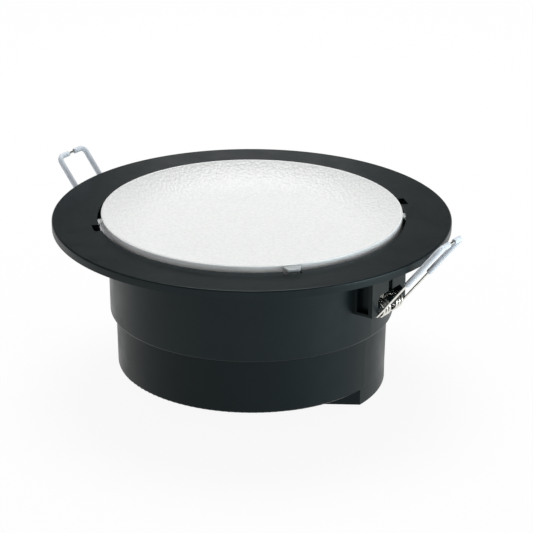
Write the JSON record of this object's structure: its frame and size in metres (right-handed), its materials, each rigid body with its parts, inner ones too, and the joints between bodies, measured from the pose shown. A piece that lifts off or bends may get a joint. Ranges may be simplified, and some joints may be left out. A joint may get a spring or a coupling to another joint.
{
  "type": "soffit downlight",
  "caption": "Round recessed downlight for an outdoor soffit, with an opal twist-off diffuser, a rear terminal compartment and sprung wire clips that hold it in its cut-out.",
  "frame": {"origin": "centre of the trim flange's back, in the plane that meets the soffit", "axes": "+Z out of the soffit into the room, along the light; +X through the right spring clip"},
  "size_m": [0.2668, 0.23, 0.1134],
  "materials": {
    "trim_black": "fine matt black moulding",
    "can_black": "smooth satin black moulding",
    "opal": "opal, pebbled face and clear satin rim",
    "spring_steel": "bright drawn wire",
    "sleeve_white": "pale bluish translucent tube",
    "foam_black": "closed cell foam",
    "seal_silicone": "translucent silicone",
    "zinc_screw": "zinc plated",
    "reflector_white": "white satin",
    "board_white": "white solder mask",
    "chip_phosphor": "yellow phosphor",
    "plate_aluminium": "rolled sheet",
    "pad_grey": "soft thermal pad",
    "driver_white": "moulded white",
    "board_green": "green laminate",
    "winding_yellow": "yellow tape over a ferrite core",
    "capacitor_black": "shrunk black sleeve",
    "terminal_white": "white nylon",
    "grommet_black": "soft black rubber",
    "lead_white": "white insulation",
    "lead_red": "red insulation"
  },
  "bodies": {
    "housing": {"trim_housing": "trim_black", "soffit_gasket": "foam_black", "diffuser_seal": "seal_silicone", "rear_can": "can_black", "body_seal": "seal_silicone", "can_screws": "zinc_screw", "reflector": "reflector_white", "led_board": "board_white", "led_chips": "chip_phosphor", "led_connector": "terminal_white", "thermal_pad": "pad_grey", "heat_spreader": "plate_aluminium", "board_screws": "zinc_screw", "spreader_screws": "zinc_screw", "driver_case": "driver_white", "driver_lid": "driver_white", "driver_board": "board_green", "driver_transformer": "winding_yellow", "driver_capacitors": "capacitor_black", "driver_screws": "zinc_screw", "terminal_block": "terminal_white", "terminal_screws": "zinc_screw", "terminal_lid": "can_black", "terminal_seal": "seal_silicone", "lid_screws": "zinc_screw", "cable_grommet": "grommet_black", "mains_leads": "lead_white", "led_leads": "lead_red", "right_anchor_hook": "spring_steel", "left_anchor_hook": "spring_steel"},
    "diffuser": {"diffuser": "opal"},
    "right_clip": {"right_clip_spring": "spring_steel", "right_front_sleeve": "sleeve_white", "right_back_sleeve": "sleeve_white"},
    "left_clip": {"left_clip_spring": "spring_steel", "left_front_sleeve": "sleeve_white", "left_back_sleeve": "sleeve_white"}
  },
  "joints": [
    {"name": "diffuser_twist", "type": "hinge", "parent": "housing", "child": "diffuser", "pos_m": [0, 0, 0], "axis": [0, 0, 1], "range_deg": [0, 10.5]},
    {"name": "right_clip_swing", "type": "hinge", "parent": "housing", "child": "right_clip", "pos_m": [0.0904, 0, -0.0288], "axis": [0, 1, 0], "range_deg": [-2, 132], "stiffness_Nm_per_rad": 0.34},
    {"name": "left_clip_swing", "type": "hinge", "parent": "housing", "child": "left_clip", "pos_m": [-0.0904, 0, -0.0288], "axis": [0, -1, 0], "range_deg": [-2, 132], "stiffness_Nm_per_rad": 0.34}
  ]
}
